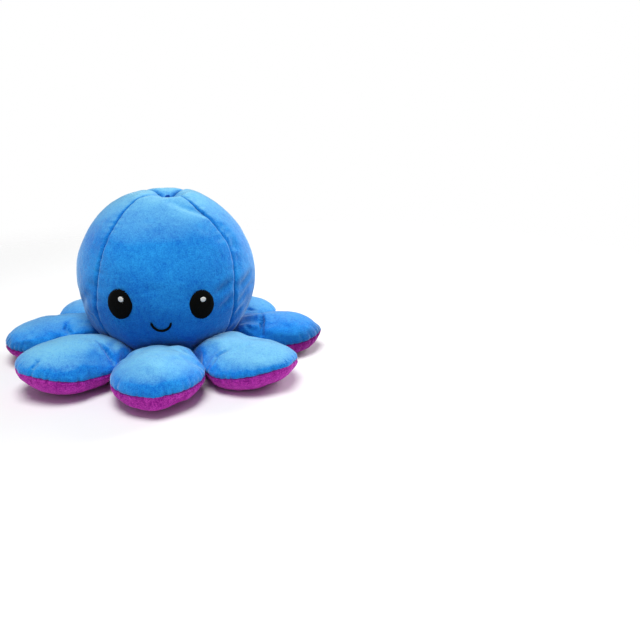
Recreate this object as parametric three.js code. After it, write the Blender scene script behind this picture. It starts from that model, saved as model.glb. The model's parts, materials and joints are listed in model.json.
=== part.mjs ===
// A reversible plush octopus, blue side out: a stuffed head over a purple pocket, with eight stuffed legs.
// Millimetres, +Z up, standing on the floor at z = 0, with the face towards -Y.
import * as THREE from "three"
import { mergeVertices } from "three/addons/utils/BufferGeometryUtils.js"

// Head
const SPAN = 200 // tip to tip across two opposite legs
const HEAD_RADIUS = 54 // at its widest ring
const HEAD_WAIST = 51 // height of that ring above the floor
const HEAD_RISE = 57.5 // from that ring up to the crown
const CROWN_DIP = 4 // depth of the dimple that the crown tack draws in
const CROWN_DIP_RADIUS = 9
const NECK_HEIGHT = 15 // of the seam that joins head, lining and legs
const SEAM_DEPTH = 2 // how far the seams between head panels are drawn in
const SEAM_SHARPNESS = 8 // how close to the seam the panels roll in
const PANEL_HALF_ANGLE = 47 // degrees from the middle of the front panel to its seam, at the widest ring
const PANEL_SPREAD = 8 // degrees by which that angle grows down the head
const HEAD_TURN = 5 // degrees by which the panels are sewn off the line of the front leg

// Fabric and thread
const FABRIC = 2 // plush with its backing
const GAP = 0.3 // between pieces that are sewn or pressed together
const THREAD = 0.8 // height of the embroidery
const TACK_RADIUS = 0.8 // the thread that ties the crown to the lining
const KNOT_RADIUS = 2
const KNOT_RISE = 0.6 // how far the knots stand out of the fabric

// Pocket under the head, which is the other toy turned inside
const POCKET_RADIUS = 30 // at its widest ring
const POCKET_WAIST = 40 // height of that ring
const POCKET_TOP = 76
const MOUTH_RADIUS = 26 // the way into the pocket
const LIP_HEIGHT = 9 // from the floor to the narrowest ring of the mouth
const LIP_FLAT = 3 // width of the ring that rests on the floor

// Legs
const LEG_COUNT = 8
const LEG_WIDTH = 49.2
const LEG_CROWN = 17 // how far the top swells above the edge seam
const LEG_ROOT = 4 // half the thickness of the sewn root
const LEG_GAP = 0.8 // between neighbouring legs
const LEG_DROOP = 40 // degrees that a leg can hang below level
const FLOOR_CUT = 0.5 // how much of a resting swell is flattened

// Faces, measured along the fabric
const FACE_TURN = 2.6 // degrees off the line of the front leg
const EYE_WIDTH = 15.3
const EYE_HEIGHT = 17.4
const EYE_SPACING = 46.4
const EYE_DROP = 3.9 // below the widest ring of the head
const EYE_TILT = 9 // degrees that the eyes lean out at the top
const GLINT_RADIUS = 1.7
const GLINT_SHIFT = 1
const GLINT_RISE = 3.2
const MOUTH_WIDTH = 11.3
const MOUTH_DEPTH = 5.8
const MOUTH_DROP = 14.7 // from the widest ring of the head to the ends of the mouth
const MOUTH_STROKE = 1.6
const INNER_FACE_HEIGHT = 28 // of the eyes inside the pocket
const SCOWL = 24 // degrees that the cut tops of the inner eyes slope
const SCOWL_CUT = 4.5 // from the middle of an inner eye up to its cut top

// Fineness of the facets
const PANEL_COLUMNS = 6
const LEG_ROWS = 8
const LEG_COLUMNS = 6
const EYE_SIDES = 14
const GLINT_SIDES = 8
const STROKE_STEPS = 8
const TACK_SIDES = 10

const { degToRad, lerp, clamp } = THREE.MathUtils
const SIDES = ["front", "right", "back", "left"]
const LEG_SIDES = ["front", "front_right", "right", "back_right", "back", "back_left", "left", "front_left"]
const LEG_STEP = (2 * Math.PI) / LEG_COUNT

const plush = (color) => new THREE.MeshStandardMaterial({ color, roughness: 0.95, metalness: 0 })
const blue = plush(0x3a96df)
const purple = plush(0x972d93)
const fibre = plush(0xf1f0ea)
const blackThread = new THREE.MeshStandardMaterial({ color: 0x0a0a0c, roughness: 0.55, metalness: 0 })
const blueThread = new THREE.MeshStandardMaterial({ color: 0x3a96df, roughness: 0.55, metalness: 0 })
const whiteThread = new THREE.MeshStandardMaterial({ color: 0xe9e9e4, roughness: 0.55, metalness: 0 })

// A closed solid between two matching grids of points. A wrapped grid goes right round and has no side edges.
function slab(front, back, wrapped = false) {
  const rows = front.length
  const columns = front[0].length
  const spans = wrapped ? columns : columns - 1
  const size = rows * columns
  const at = (row, column) => row * columns + (column % columns)
  const corners = []
  const quad = (a, b, c, d) => corners.push(a, b, c, a, c, d)
  for (let row = 0; row + 1 < rows; row++) {
    for (let column = 0; column < spans; column++) {
      const [a, b] = [at(row, column), at(row, column + 1)]
      const [c, d] = [at(row + 1, column + 1), at(row + 1, column)]
      quad(a, b, c, d)
      quad(size + a, size + d, size + c, size + b)
    }
    if (wrapped) continue
    const [a, b, c, d] = [at(row, 0), at(row + 1, 0), at(row, columns - 1), at(row + 1, columns - 1)]
    quad(a, b, size + b, size + a)
    quad(d, c, size + c, size + d)
  }
  for (let column = 0; column < spans; column++) {
    const [a, b, c, d] = [at(0, column), at(0, column + 1), at(rows - 1, column), at(rows - 1, column + 1)]
    quad(b, a, size + a, size + b)
    quad(c, d, size + d, size + c)
  }
  const points = [...front.flat(), ...back.flat()]
  const loose = new THREE.BufferGeometry().setFromPoints(points).setIndex(corners)
  return outward(mergeVertices(loose, 1e-3))
}

// The same surface without its collapsed triangles, and with its faces pointing out.
function outward(surface) {
  const places = surface.getAttribute("position")
  const point = (i) => new THREE.Vector3().fromBufferAttribute(places, i)
  const kept = []
  let volume = 0
  for (let i = 0; i < surface.index.count; i += 3) {
    const [a, b, c] = [0, 1, 2].map((k) => surface.index.getX(i + k))
    if (a === b || b === c || c === a) continue
    kept.push([a, b, c])
    volume += point(a).dot(point(b).cross(point(c)))
  }
  surface.setIndex(kept.flatMap(([a, b, c]) => (volume < 0 ? [a, c, b] : [a, b, c])))
  surface.computeVertexNormals()
  return surface
}

const grid = (rows, columns, point) =>
  Array.from({ length: rows + 1 }, (_, row) =>
    Array.from({ length: columns + 1 }, (_, column) => point(row / rows, column / columns)))

const ringGrid = (rows, columns, point) => grid(rows, columns, point).map((row) => row.slice(0, -1))

const node = (name, geometry, material) => Object.assign(new THREE.Mesh(geometry, material), { name })

// Turns are measured from the front, -Y, towards +X.
const onTurn = (turn, radius, z) => new THREE.Vector3(radius * Math.sin(turn), -radius * Math.cos(turn), z)

// How far the straight root line of a leg lies from the axis, as a share of its distance in mid leg.
function legSide(turn) {
  const off = turn - Math.round(turn / LEG_STEP) * LEG_STEP
  return 1 / Math.cos(off)
}

// Outline of the head in a plane through its axis, by the climb in radians above its widest ring.
function headOutline(climb, depth) {
  const rise = climb > 0 ? HEAD_RISE : HEAD_WAIST
  const normal = new THREE.Vector2(Math.cos(climb) / HEAD_RADIUS, Math.sin(climb) / rise).normalize()
  const place = new THREE.Vector2(HEAD_RADIUS * Math.cos(climb), HEAD_WAIST + rise * Math.sin(climb))
  return { place: place.addScaledVector(normal, -depth), normal }
}

const NECK_CLIMB = Math.asin((NECK_HEIGHT - HEAD_WAIST) / HEAD_WAIST)
const CROWN_CLIMB = Math.acos((KNOT_RADIUS + GAP) / HEAD_RADIUS)

// The legs turn on the neck seam: their round roots lie against the head and the lining there.
const neck = headOutline(NECK_CLIMB, 0)
const hinge = neck.place.clone().addScaledVector(neck.normal, LEG_ROOT + GAP)
const rootClearance = LEG_ROOT + GAP

// A point of the head, drawn in at the crown and at its seams, and straight along each leg at the neck.
function headPoint(turn, climb, depth, across = 0) {
  const { place } = headOutline(climb, depth)
  const low = clamp(climb / NECK_CLIMB, 0, 1) ** 2
  const straight = lerp(1, legSide(turn), low)
  const drawn = SEAM_DEPTH * across ** SEAM_SHARPNESS * Math.cos(climb) * (1 - low)
  const dip = CROWN_DIP * Math.exp(-((place.x / CROWN_DIP_RADIUS) ** 2))
  return onTurn(turn, place.x * straight - drawn, place.y - (climb > 0 ? dip : 0))
}

// Where a panel's seams lie, by its number, the climb and the place across it from -1 to 1.
function panelTurn(panel, climb, across) {
  const front = degToRad(PANEL_HALF_ANGLE - PANEL_SPREAD * Math.sin(climb))
  const half = panel % 2 ? Math.PI / 2 - front : front
  return degToRad(HEAD_TURN) + (panel * Math.PI) / 2 + half * across
}

// A panel's edges stop short of the seam, by half the gap to the next panel.
function trimmedTurn(panel, climb, across, radius) {
  const trim = Math.abs(across) === 1 ? GAP / 2 / radius : 0
  return panelTurn(panel, climb, across) - Math.sign(across) * trim
}

// Outline of the lining from its crown, down the pocket, round the padded lip and up to the neck seam.
const lipOuter = hinge.x - rootClearance
const lipRound = (lipOuter - MOUTH_RADIUS - LIP_FLAT) / 2
const seamAngle = Math.PI + Math.atan2(neck.normal.y, neck.normal.x)
const liningCrown = Math.acos((KNOT_RADIUS + GAP) / POCKET_RADIUS)
const pocketWall = new THREE.QuadraticBezierCurve(
  new THREE.Vector2(POCKET_RADIUS, POCKET_WAIST),
  new THREE.Vector2(POCKET_RADIUS, lerp(LIP_HEIGHT, POCKET_WAIST, 0.5)),
  new THREE.Vector2(MOUTH_RADIUS, LIP_HEIGHT))
const lipTurn = (x, from) =>
  new THREE.EllipseCurve(x, LIP_HEIGHT, lipRound, LIP_HEIGHT, from, from + Math.PI / 2)
const pocketDome =
  new THREE.EllipseCurve(0, POCKET_WAIST, POCKET_RADIUS, POCKET_TOP - POCKET_WAIST, liningCrown, 0, true)
const neckEnd = seamAngle + GAP / rootClearance
const neckTurn =
  new THREE.EllipseCurve(hinge.x, hinge.y, rootClearance, rootClearance, Math.PI, neckEnd, true)
const pocketCurves = [[pocketDome, 3], [pocketWall, 2]]
const lipCurves = [
  [lipTurn(MOUTH_RADIUS + lipRound, Math.PI), 2],
  [lipTurn(lipOuter - lipRound, 1.5 * Math.PI), 2],
  [neckTurn, 1],
]

// The points of some curves in a row, where a straight step closes the way from one curve to the next.
function pointsAlong(curves) {
  const points = []
  for (const [curve, steps] of curves) {
    const fresh = curve.getPoints(steps)
    const joined = points.length && fresh[0].distanceTo(points.at(-1)) < GAP
    points.push(...(joined ? fresh.slice(1) : fresh))
  }
  return points
}

// The points of the lining's outline, with the direction from the show side into the padding at each.
function liningOutline() {
  const pocketPoints = pointsAlong(pocketCurves)
  const points = [...pocketPoints, ...pointsAlong(lipCurves).slice(1)]
  return points.map((place, i) => {
    const before = points[Math.max(i - 1, 0)]
    const after = points[Math.min(i + 1, points.length - 1)]
    const along = after.clone().sub(before).normalize()
    return { place, inward: new THREE.Vector2(-along.y, along.x), onLip: i >= pocketPoints.length }
  })
}

const outline = liningOutline()
const PANEL_ROWS = outline.length - 1 // head, lining and padding share their rows, so that their facets match

function headPanel(panel) {
  const layer = (depth) =>
    grid(PANEL_ROWS, PANEL_COLUMNS, (down, share) => {
      const climb = lerp(CROWN_CLIMB, NECK_CLIMB, down)
      const across = 2 * share - 1
      const radius = headOutline(climb, depth).place.x
      return headPoint(trimmedTurn(panel, climb, across, radius), climb, depth, across)
    })
  return node(`head_panel_${SIDES[panel]}`, slab(layer(0), layer(FABRIC)), blue)
}

function liningPoint(turn, step, depth) {
  const { place, inward, onLip } = outline[step]
  const at = place.clone().addScaledVector(inward, depth)
  const straight = onLip ? clamp((place.x - MOUTH_RADIUS) / (lipOuter - MOUTH_RADIUS), 0, 1) : 0
  return onTurn(turn, at.x * lerp(1, legSide(turn), straight), at.y)
}

function liningPanel(panel) {
  const layer = (depth) =>
    grid(PANEL_ROWS, PANEL_COLUMNS, (down, share) => {
      const step = Math.round(down * PANEL_ROWS)
      const turn = trimmedTurn(panel, NECK_CLIMB, 2 * share - 1, outline[step].place.x)
      return liningPoint(turn, step, depth)
    })
  return node(`lining_panel_${SIDES[panel]}`, slab(layer(0), layer(FABRIC)), purple)
}

// The fibre between head and lining, with a hole down the middle for the crown tack.
function headPadding() {
  const depth = FABRIC + GAP
  const column = (share) => {
    const place = share * SIDES.length
    const panel = Math.min(Math.floor(place), SIDES.length - 1)
    return { panel, across: 2 * (place - panel) - 1 }
  }
  const columns = SIDES.length * PANEL_COLUMNS
  const layer = (point) => ringGrid(PANEL_ROWS, columns, (down, share) => point(down, column(share)))
  const outer = layer((down, { panel, across }) => {
    const climb = lerp(CROWN_CLIMB, NECK_CLIMB, down)
    return headPoint(panelTurn(panel, climb, across), climb, depth, across)
  })
  const inner = layer((down, { panel, across }) =>
    liningPoint(panelTurn(panel, NECK_CLIMB, across), Math.round(down * PANEL_ROWS), depth))
  return node("head_padding", slab(outer, inner, true), fibre)
}

// The thread that ties the crown of the head to the crown of the lining, with a knot at each end.
function crownTack() {
  const top = HEAD_WAIST + HEAD_RISE - CROWN_DIP
  const bottom = POCKET_TOP
  const profile = [
    [0, bottom - KNOT_RISE],
    [KNOT_RADIUS, bottom - KNOT_RISE],
    [KNOT_RADIUS, bottom + FABRIC],
    [TACK_RADIUS, bottom + FABRIC],
    [TACK_RADIUS, top - FABRIC],
    [KNOT_RADIUS, top - FABRIC],
    [KNOT_RADIUS, top + KNOT_RISE],
    [0, top + KNOT_RISE],
  ].map(([x, y]) => new THREE.Vector2(x, y))
  return node("crown_tack", new THREE.LatheGeometry(profile, TACK_SIDES).rotateX(Math.PI / 2), blueThread)
}

// A leg's plan is an egg with its blunt end out, cut off at the root and flattened against its neighbours.
const EGG = 0.5
const EGG_START = -0.42
const TOP_SWELL = [0.8, 0.5]
const UNDER_SWELL = [0.6, 0.45]
const eggWidth = (x) => Math.sqrt(1 - x * x) * (1 + EGG * x)
const eggWidest = (Math.sqrt(1 + 8 * EGG * EGG) - 1) / (4 * EGG)
const LEG_LENGTH = SPAN / 2 - hinge.x + LEG_ROOT

// A swell from nothing at 0 up to 1 and back to nothing, blunt where the power is small.
function swell(x, rise, fall) {
  const peak = rise / (rise + fall)
  return (x / peak) ** rise * ((1 - x) / (1 - peak)) ** fall
}

// A point of a leg from its hinge: along from 0 to 1, and round its section from one edge seam to the other.
function legPoint(along, round, inset, side) {
  const u = -LEG_ROOT + inset + along * (LEG_LENGTH - 2 * inset)
  const reach = u > 0 ? u * Math.cos(degToRad(LEG_DROOP)) : u
  const room = Math.tan(LEG_STEP / 2) * (hinge.x + reach) - LEG_GAP / 2
  const egg = (LEG_WIDTH / 2) * (eggWidth(lerp(EGG_START, 1, along)) / eggWidth(eggWidest))
  const half = Math.max(Math.min(egg, room) - inset, 0)
  const over = (LEG_CROWN - inset) * swell(along, ...TOP_SWELL)
  const under = (hinge.y + FLOOR_CUT - inset) * swell(along, ...UNDER_SWELL)
  const height = (side > 0 ? over : under) * Math.sin(Math.PI * round)
  const w = Math.max(side * (height + GAP / 2), inset - hinge.y)
  return new THREE.Vector3(u, half * Math.cos(Math.PI * round), w)
}

const easedEnds = (share) => (1 - Math.cos(Math.PI * share)) / 2

const legLayer = (inset, side) =>
  grid(LEG_ROWS, LEG_COLUMNS, (down, share) => legPoint(easedEnds(down), share, inset, side))

const legTop = slab(legLayer(0, 1), legLayer(FABRIC, 1))
const legUnderside = slab(legLayer(0, -1), legLayer(FABRIC, -1))
const legFill = slab(legLayer(FABRIC + GAP, 1), legLayer(FABRIC + GAP, -1))

function leg(number) {
  const turned = new THREE.Group()
  const root = new THREE.Group()
  turned.rotation.z = number * LEG_STEP - Math.PI / 2
  root.position.set(hinge.x, 0, hinge.y)
  root.add(node(`leg_${LEG_SIDES[number]}_top`, legTop, blue))
  root.add(node(`leg_${LEG_SIDES[number]}_underside`, legUnderside, purple))
  root.add(node(`leg_${LEG_SIDES[number]}_fill`, legFill, fibre))
  turned.add(root)
  return turned
}

// Places on the two faces, by millimetres across and up the fabric and by height over it.
function onHead(across, up, lift) {
  return headPoint(degToRad(FACE_TURN) + across / HEAD_RADIUS, up / HEAD_WAIST, -lift)
}

const wall = outline.filter(({ onLip }) => !onLip).map(({ place }) => place)
const halfFacet = panelTurn(0, NECK_CLIMB, 1 / PANEL_COLUMNS) - degToRad(HEAD_TURN)
const facetSag = POCKET_RADIUS * (1 - Math.cos(halfFacet))

function onLining(across, up, lift) {
  const z = INNER_FACE_HEIGHT + up
  const below = wall.findIndex((place) => place.y <= z)
  const [low, high] = [wall[below], wall[below - 1]]
  const radius = lerp(low.x, high.x, (z - low.y) / (high.y - low.y)) - facetSag - lift
  return onTurn(degToRad(FACE_TURN) - across / POCKET_RADIUS, radius, z)
}

// A filled patch of satin stitch with a given outline, lying on a face.
function patch(place, sides, radius, middle, base) {
  const layer = (lift) =>
    ringGrid(2, sides, (out, share) => {
      const angle = 2 * Math.PI * share
      const reach = out * radius(angle)
      return place(middle.x + reach * Math.cos(angle), middle.y + reach * Math.sin(angle), lift)
    })
  return slab(layer(base + THREAD), layer(base), true)
}

// A stitched line along half an ellipse, hanging down or, with a negative depth, arching up.
function stroke(place, width, depth, top) {
  const layer = (lift) =>
    grid(STROKE_STEPS, 1, (along, side) => {
      const angle = Math.PI * along
      const out = MOUTH_STROKE * (side - 0.5)
      const x = (width / 2 + out) * Math.cos(angle)
      const y = (depth + Math.sign(depth) * out) * Math.sin(angle)
      return place(x, top - y, lift)
    })
  return slab(layer(GAP + THREAD), layer(GAP))
}

const ellipse = (angle) =>
  1 / Math.hypot(Math.cos(angle) / (EYE_WIDTH / 2), Math.sin(angle) / (EYE_HEIGHT / 2))

function face(prefix, place, spacing, drop, eyeOutline, mouth) {
  const made = [node(`${prefix}_mouth`, mouth, blackThread)]
  for (const [name, hand] of [["left", -1], ["right", 1]]) {
    const middle = new THREE.Vector2((hand * spacing) / 2, -drop)
    const glint = new THREE.Vector2(middle.x + GLINT_SHIFT, middle.y + GLINT_RISE)
    const eye = patch(place, EYE_SIDES, (angle) => eyeOutline(angle, hand), middle, GAP)
    const shine = patch(place, GLINT_SIDES, () => GLINT_RADIUS, glint, 2 * GAP + THREAD)
    made.push(node(`${prefix}_eye_${name}`, eye, blackThread))
    made.push(node(`${prefix}_glint_${name}`, shine, whiteThread))
  }
  return made
}

function outerFace() {
  const leaning = (angle, hand) => ellipse(angle + hand * degToRad(EYE_TILT))
  const smile = stroke(onHead, MOUTH_WIDTH, MOUTH_DEPTH, -MOUTH_DROP)
  return face("face", onHead, EYE_SPACING, EYE_DROP, leaning, smile)
}

// In the pocket the fabric is gathered, so this face is narrower. Its eyes scowl and its mouth arches.
function innerFace() {
  const gather = POCKET_RADIUS / HEAD_RADIUS
  const scowling = (angle, hand) => {
    const towardsCut = Math.cos(angle - Math.PI / 2 - hand * degToRad(SCOWL))
    return towardsCut > 0 ? Math.min(ellipse(angle), SCOWL_CUT / towardsCut) : ellipse(angle)
  }
  const drop = MOUTH_DROP - EYE_DROP + MOUTH_DEPTH
  const frown = stroke(onLining, MOUTH_WIDTH * gather, -MOUTH_DEPTH * gather, -drop)
  return face("inner_face", onLining, EYE_SPACING * gather, 0, scowling, frown)
}

const octopus = new THREE.Group()
for (const panel of SIDES.keys()) {
  octopus.add(headPanel(panel), liningPanel(panel))
}
octopus.add(headPadding(), crownTack(), ...outerFace(), ...innerFace())
for (let number = 0; number < LEG_COUNT; number++) {
  octopus.add(leg(number))
}

export default octopus
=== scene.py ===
import json
import math

import bpy
import numpy as np
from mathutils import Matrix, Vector
from mathutils.kdtree import KDTree


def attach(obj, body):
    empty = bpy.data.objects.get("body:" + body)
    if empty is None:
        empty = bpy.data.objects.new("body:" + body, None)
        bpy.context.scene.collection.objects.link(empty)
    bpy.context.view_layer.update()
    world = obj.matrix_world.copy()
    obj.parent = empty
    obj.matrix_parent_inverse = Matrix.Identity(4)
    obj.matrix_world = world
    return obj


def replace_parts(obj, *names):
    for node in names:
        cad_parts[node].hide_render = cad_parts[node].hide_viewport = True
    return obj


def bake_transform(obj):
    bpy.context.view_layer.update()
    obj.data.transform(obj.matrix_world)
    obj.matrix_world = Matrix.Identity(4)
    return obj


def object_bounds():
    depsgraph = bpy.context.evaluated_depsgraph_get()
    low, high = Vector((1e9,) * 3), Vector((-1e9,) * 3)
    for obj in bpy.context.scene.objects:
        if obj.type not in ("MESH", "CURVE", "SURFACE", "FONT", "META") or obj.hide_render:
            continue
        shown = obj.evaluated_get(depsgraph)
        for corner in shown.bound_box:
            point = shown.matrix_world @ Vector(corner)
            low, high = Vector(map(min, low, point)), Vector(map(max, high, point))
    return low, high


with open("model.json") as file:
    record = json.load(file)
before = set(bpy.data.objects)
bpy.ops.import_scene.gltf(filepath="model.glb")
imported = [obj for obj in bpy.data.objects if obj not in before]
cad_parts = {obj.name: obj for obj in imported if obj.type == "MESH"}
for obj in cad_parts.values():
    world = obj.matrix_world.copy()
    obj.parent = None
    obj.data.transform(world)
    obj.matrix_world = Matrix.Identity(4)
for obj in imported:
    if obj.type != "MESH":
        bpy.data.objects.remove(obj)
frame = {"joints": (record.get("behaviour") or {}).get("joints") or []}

cad_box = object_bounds()

# A reversible plush octopus, blue side out: a stuffed head over a purple pocket, with eight stuffed legs.
# Sizes are in metres and angles in radians. Turns are measured from the front, -Y, towards +X.
MM = 0.001
DEGREE = math.pi / 180
FULL_TURN = 2 * math.pi
TINY = 1e-6
ARC_POINTS = 24
HEADING_STEP = 0.01
CREASE = 70 * DEGREE
SIDES = ["front", "right", "back", "left"]
LEGS = ["front", "front_right", "right", "back_right", "back", "back_left", "left", "front_left"]
LEG_STEP = FULL_TURN / len(LEGS)

# Head
HEAD_RADIUS = 54 * MM
HEAD_WAIST = 51 * MM
HEAD_RISE = 57.5 * MM
NECK_HEIGHT = 15 * MM
CROWN_DIP = 7 * MM
CROWN_DIP_RADIUS = 11 * MM
CROWN_PINCH = 4 * MM
CROWN_LEAN = (4 * MM, -1 * MM, 0)
CROWN_LEAN_RADIUS = 22 * MM
CROWN_NOTCH = 3.2 * MM
CROWN_NOTCH_PLACE = (3 * MM, -11 * MM)
CROWN_NOTCH_RADIUS = 8 * MM
CROWN_FOLD_REACH = 18 * MM
CROWN_FOLD_WIDTH = 2.4 * MM
CROWN_FOLD_DEPTH = 1.6 * MM
CHEEK_FULL = 2.0 * MM
CHEEK_TURN = 88 * DEGREE
CHEEK_SPREAD = 45 * DEGREE
CHEEK_FOLD_WIDTH = 2.4 * MM
PANEL_HALF_ANGLE = 47 * DEGREE
PANEL_SPREAD = 8 * DEGREE
HEAD_TURN = 5 * DEGREE
SEAM_BOW = 8.5 * DEGREE
SEAM_BOW_CLIMB = 28 * DEGREE
SEAM_BOW_SPREAD = 22 * DEGREE
HEM_START = 0.94
HEM_DROP = 6 * MM
HEAD_COLUMNS = 96
HEAD_RINGS = 52

# Pocket under the head
POCKET_RADIUS = 30 * MM
POCKET_WAIST = 40 * MM
POCKET_TOP = 76 * MM
MOUTH_RADIUS = 26 * MM
LIP_HEIGHT = 9 * MM
LIP_FLAT = 3 * MM
PLEATS = 22
PLEAT_DEPTH = 3.2 * MM
PLEAT_FADE = 0.12
PLEAT_SWAY = 2.2
PLEAT_WANDER = [(0.9, 3, 1.1), (0.6, 5, 0.4)]
LIP_PRESSED = 0.75
LINING_END = 0.94 * math.pi
LINING_COLUMNS = 176
LINING_RINGS = 64

# Legs
LEG_WIDTH = 49.2 * MM
LEG_CROWN = 17 * MM
LEG_ROOT = 4 * MM
LEG_GAP = 0.8 * MM
LEG_DROOP = 26 * DEGREE
FLOOR_CUT = 1.5 * MM
ROOT_BEHIND = 0.55
LEG_BLUNT = 0.95
ROOT_BLUNT = 0.72
ROOT_FLARE = 0.1
ROOT_FULL = 0.95
ROOT_SHARE = (0.1, 0.36)
ROOT_LOOSE = 0.8
ROOT_SEWN = 0.1
TIP_SHARE = 0.03
TIP_FIRM = 0.9
TIP_FIRM_SHARE = (0.86, 0.98)
TIP_ROUNDS = 30
LEG_MIDDLE = 0.6
LEG_EDGE = 7 * MM
LEG_FOLD_WIDTH = 1.2 * MM
FOLD_ABOVE = 2 * MM
FOLD_POINTS = 24
FOLD_ENDS = (0.04, 0.96)
FOLD_RIDGE = 0.2
LEG_COLUMNS = 48
LEG_RINGS = 36
LEG_FILL_COLUMNS = 24
LEG_FILL_RINGS = 16

# Fabric, filling and thread
FABRIC = 1.6 * MM
ROOT_GAP = 0.3 * MM
STUFFING_ROOM = 1.1 * MM
SEAM_ROOM = 1.8 * MM
FILLING_FRAMES = 20
FILL_INSET = 5 * MM
HEAD_FILL_COLUMNS = 64
HEAD_FILL_RINGS = 40
FILL_OFF_TACK = 2.6 * MM
FILL_OFF_LINING = (3.4 * MM, 1.5 * MM)
TACK_RADIUS = 0.7 * MM
KNOT_RADIUS = 1.2 * MM
KNOT_THREAD = 0.45 * MM
KNOT_TILT = 55 * DEGREE
KNOT_OFF = (0.4 * MM, 0.6 * MM)
SATIN_RISE = 0.9 * MM
SATIN_SPACING = 0.55 * MM
SATIN_WIDE = 1.3 * SATIN_SPACING
SATIN_HIGH = 1.1 * SATIN_SPACING
SATIN_RAGGED = 0.12 * MM
SATIN_UNEVEN = 12.9898
SATIN_TUCKED = 0.4 * MM
STITCH_SPACING = 2.6 * MM
STITCH_REACH = 0.9 * MM
STITCH_THREAD = 0.5 * MM
STITCH_LIFT = 0.7 * MM
STITCH_DIP = 0.25 * MM
# Painted light and shade: faces turned up past these are painted paler, faces turned down are painted darker
HEAD_PAINTED_LIGHT_ABOVE = 0.5
HEAD_PAINTED_SHADE_BELOW = (0.2, -0.3)
HEAD_PAINTED_SHADE = 0.38
LEG_PAINTED_LIGHT_ABOVE = 0.62
LEG_PAINTED_SHADE_BELOW = (0.98, 0.6)

# Seams: width and depth of the groove, and depth and spacing of the puckers across it. A pucker is thin for
# its spacing, long for the width of the groove, and uneven in depth and spacing.
HEAD_SEAM = (2.4 * MM, 1.7 * MM, 0.4 * MM, 6 * MM)
LINING_SEAM = (2.4 * MM, 0.8 * MM, 0.4 * MM, 5 * MM)
LEG_SEAM = (2.4 * MM, 0.8 * MM, 0.9 * MM, 5 * MM)
PUCKER_THIN = (0.16, 0.3)
PUCKER_LONG = (1.2, 2.4)
PUCKER_DEPTH = (0.3, 1)
PUCKER_SPACING = (0.6, 1.6)
ON_SEAM = 1 - 1e-4
SEAM_START = 0.02
SEAM_CLOSER = 0.6

# Unevenness: size of the lumps and how far they stand out
HEAD_LUMPS = (30 * MM, 1.6 * MM)
LINING_LUMPS = (14 * MM, 0.9 * MM)
LEG_LUMPS = (18 * MM, 1.5 * MM)
HEAD_FILL_LUMPS = (8 * MM, 1.2 * MM)
LEG_FILL_LUMPS = (6 * MM, 0.8 * MM)
PILE = (2.2 * MM, 0.22 * MM)
LINING_PILE = (2.2 * MM, 0.2 * MM)

# Stuffing: the filling's push, the cloth's slack and the furthest that it gives
HEAD_STUFFING = (8, 0.02, 2.4 * MM)
LEG_STUFFING = (1.2, 0.03, 2.0 * MM)
CLOTH = {
    "quality": 5,
    "mass": 0.3,
    "tension_stiffness": 15,
    "compression_stiffness": 15,
    "shear_stiffness": 5,
    "bending_stiffness": 0.5,
}

# Face
FACE_TURN = 2.6 * DEGREE
EYE_WIDTH = 15.5 * MM
EYE_HEIGHT = 17.2 * MM
EYE_SPACING = 47.6 * MM
EYE_DROP = 4.3 * MM
EYE_TILT = -13 * DEGREE
FACE_ROLL = 2.4 * DEGREE
GLINT_RADIUS = 1.5 * MM
GLINT_SHIFT = 1 * MM
GLINT_IN = 1 * MM
GLINT_RISE = 3.7 * MM
GLINT_DOME = 0.35 * MM
SMILE_WIDTH = 11.3 * MM
SMILE_DEPTH = 5.8 * MM
SMILE_DROP = 14.1 * MM
SMILE_STROKE = 1.3 * MM
SMILE_RISE = 0.55 * MM
SMILE_TAPER = 3
SMILE_END = 0.45
HALF_OVAL = 0.88
INNER_FACE_HEIGHT = 28 * MM
INNER_FACE_REACH = 17 * MM
INNER_FACE_SPREAD = 50 * DEGREE
SCOWL = 24 * DEGREE
SCOWL_CUT = 4.5 * MM

# How each leg lies: turn in degrees, reach in mm, how full and how wide it is, how far its tip turns up in mm
# and how far its seam sags in mm.
LEG_WAYS = {
    "front": (2.2, 3.2, 0.93, 1.01, 1.6, 0.8),
    "front_right": (-1.2, 4.2, 0.83, 1.09, 4.4, 2.6),
    "right": (2.0, -0.4, 0.84, 0.99, 0, 1.4),
    "back_right": (5.0, -7.0, 0.62, 0.94, -2.5, 0),
    "back": (-0.6, 1.2, 0.88, 1.0, 1.4, 0.6),
    "back_left": (10.0, 3.2, 0.76, 1.0, 0, 0),
    "left": (0.8, 3.6, 0.95, 1.0, 1.3, 0.4),
    "front_left": (-0.4, 2.6, 1.01, 1.01, 5.6, 1.2),
}

# How each leg is cut and filled: how far along it is widest, fullest on top and fullest below, and how
# pointed its tip is from above and from the side.
LEG_SHAPES = {
    "front": (0.46, 0.54, 0.66, 0.56, 1.07),
    "front_right": (0.48, 0.47, 0.55, 0.56, 1.12),
    "right": (0.55, 0.49, 0.53, 0.58, 1.3),
    "back_right": (0.54, 0.58, 0.58, 0.5, 1.07),
    "back": (0.5, 0.52, 0.56, 0.54, 1.15),
    "back_left": (0.54, 0.58, 0.58, 0.5, 1.07),
    "left": (0.6, 0.4, 0.49, 0.48, 1.0),
    "front_left": (0.64, 0.46, 0.57, 0.56, 1.12),
}

# How much painted light makes each leg pale on top, and how much painted shade deepens its colour down its
# sides
LEG_PAINTED_LIGHT_AND_SHADE = {
    "front": (1, 0),
    "front_right": (1, 0),
    "right": (0.2, 0.65),
    "back_right": (0.6, 0),
    "back": (0.8, 0),
    "back_left": (0.6, 0),
    "left": (0.6, 0.5),
    "front_left": (0.95, 0),
}

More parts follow.
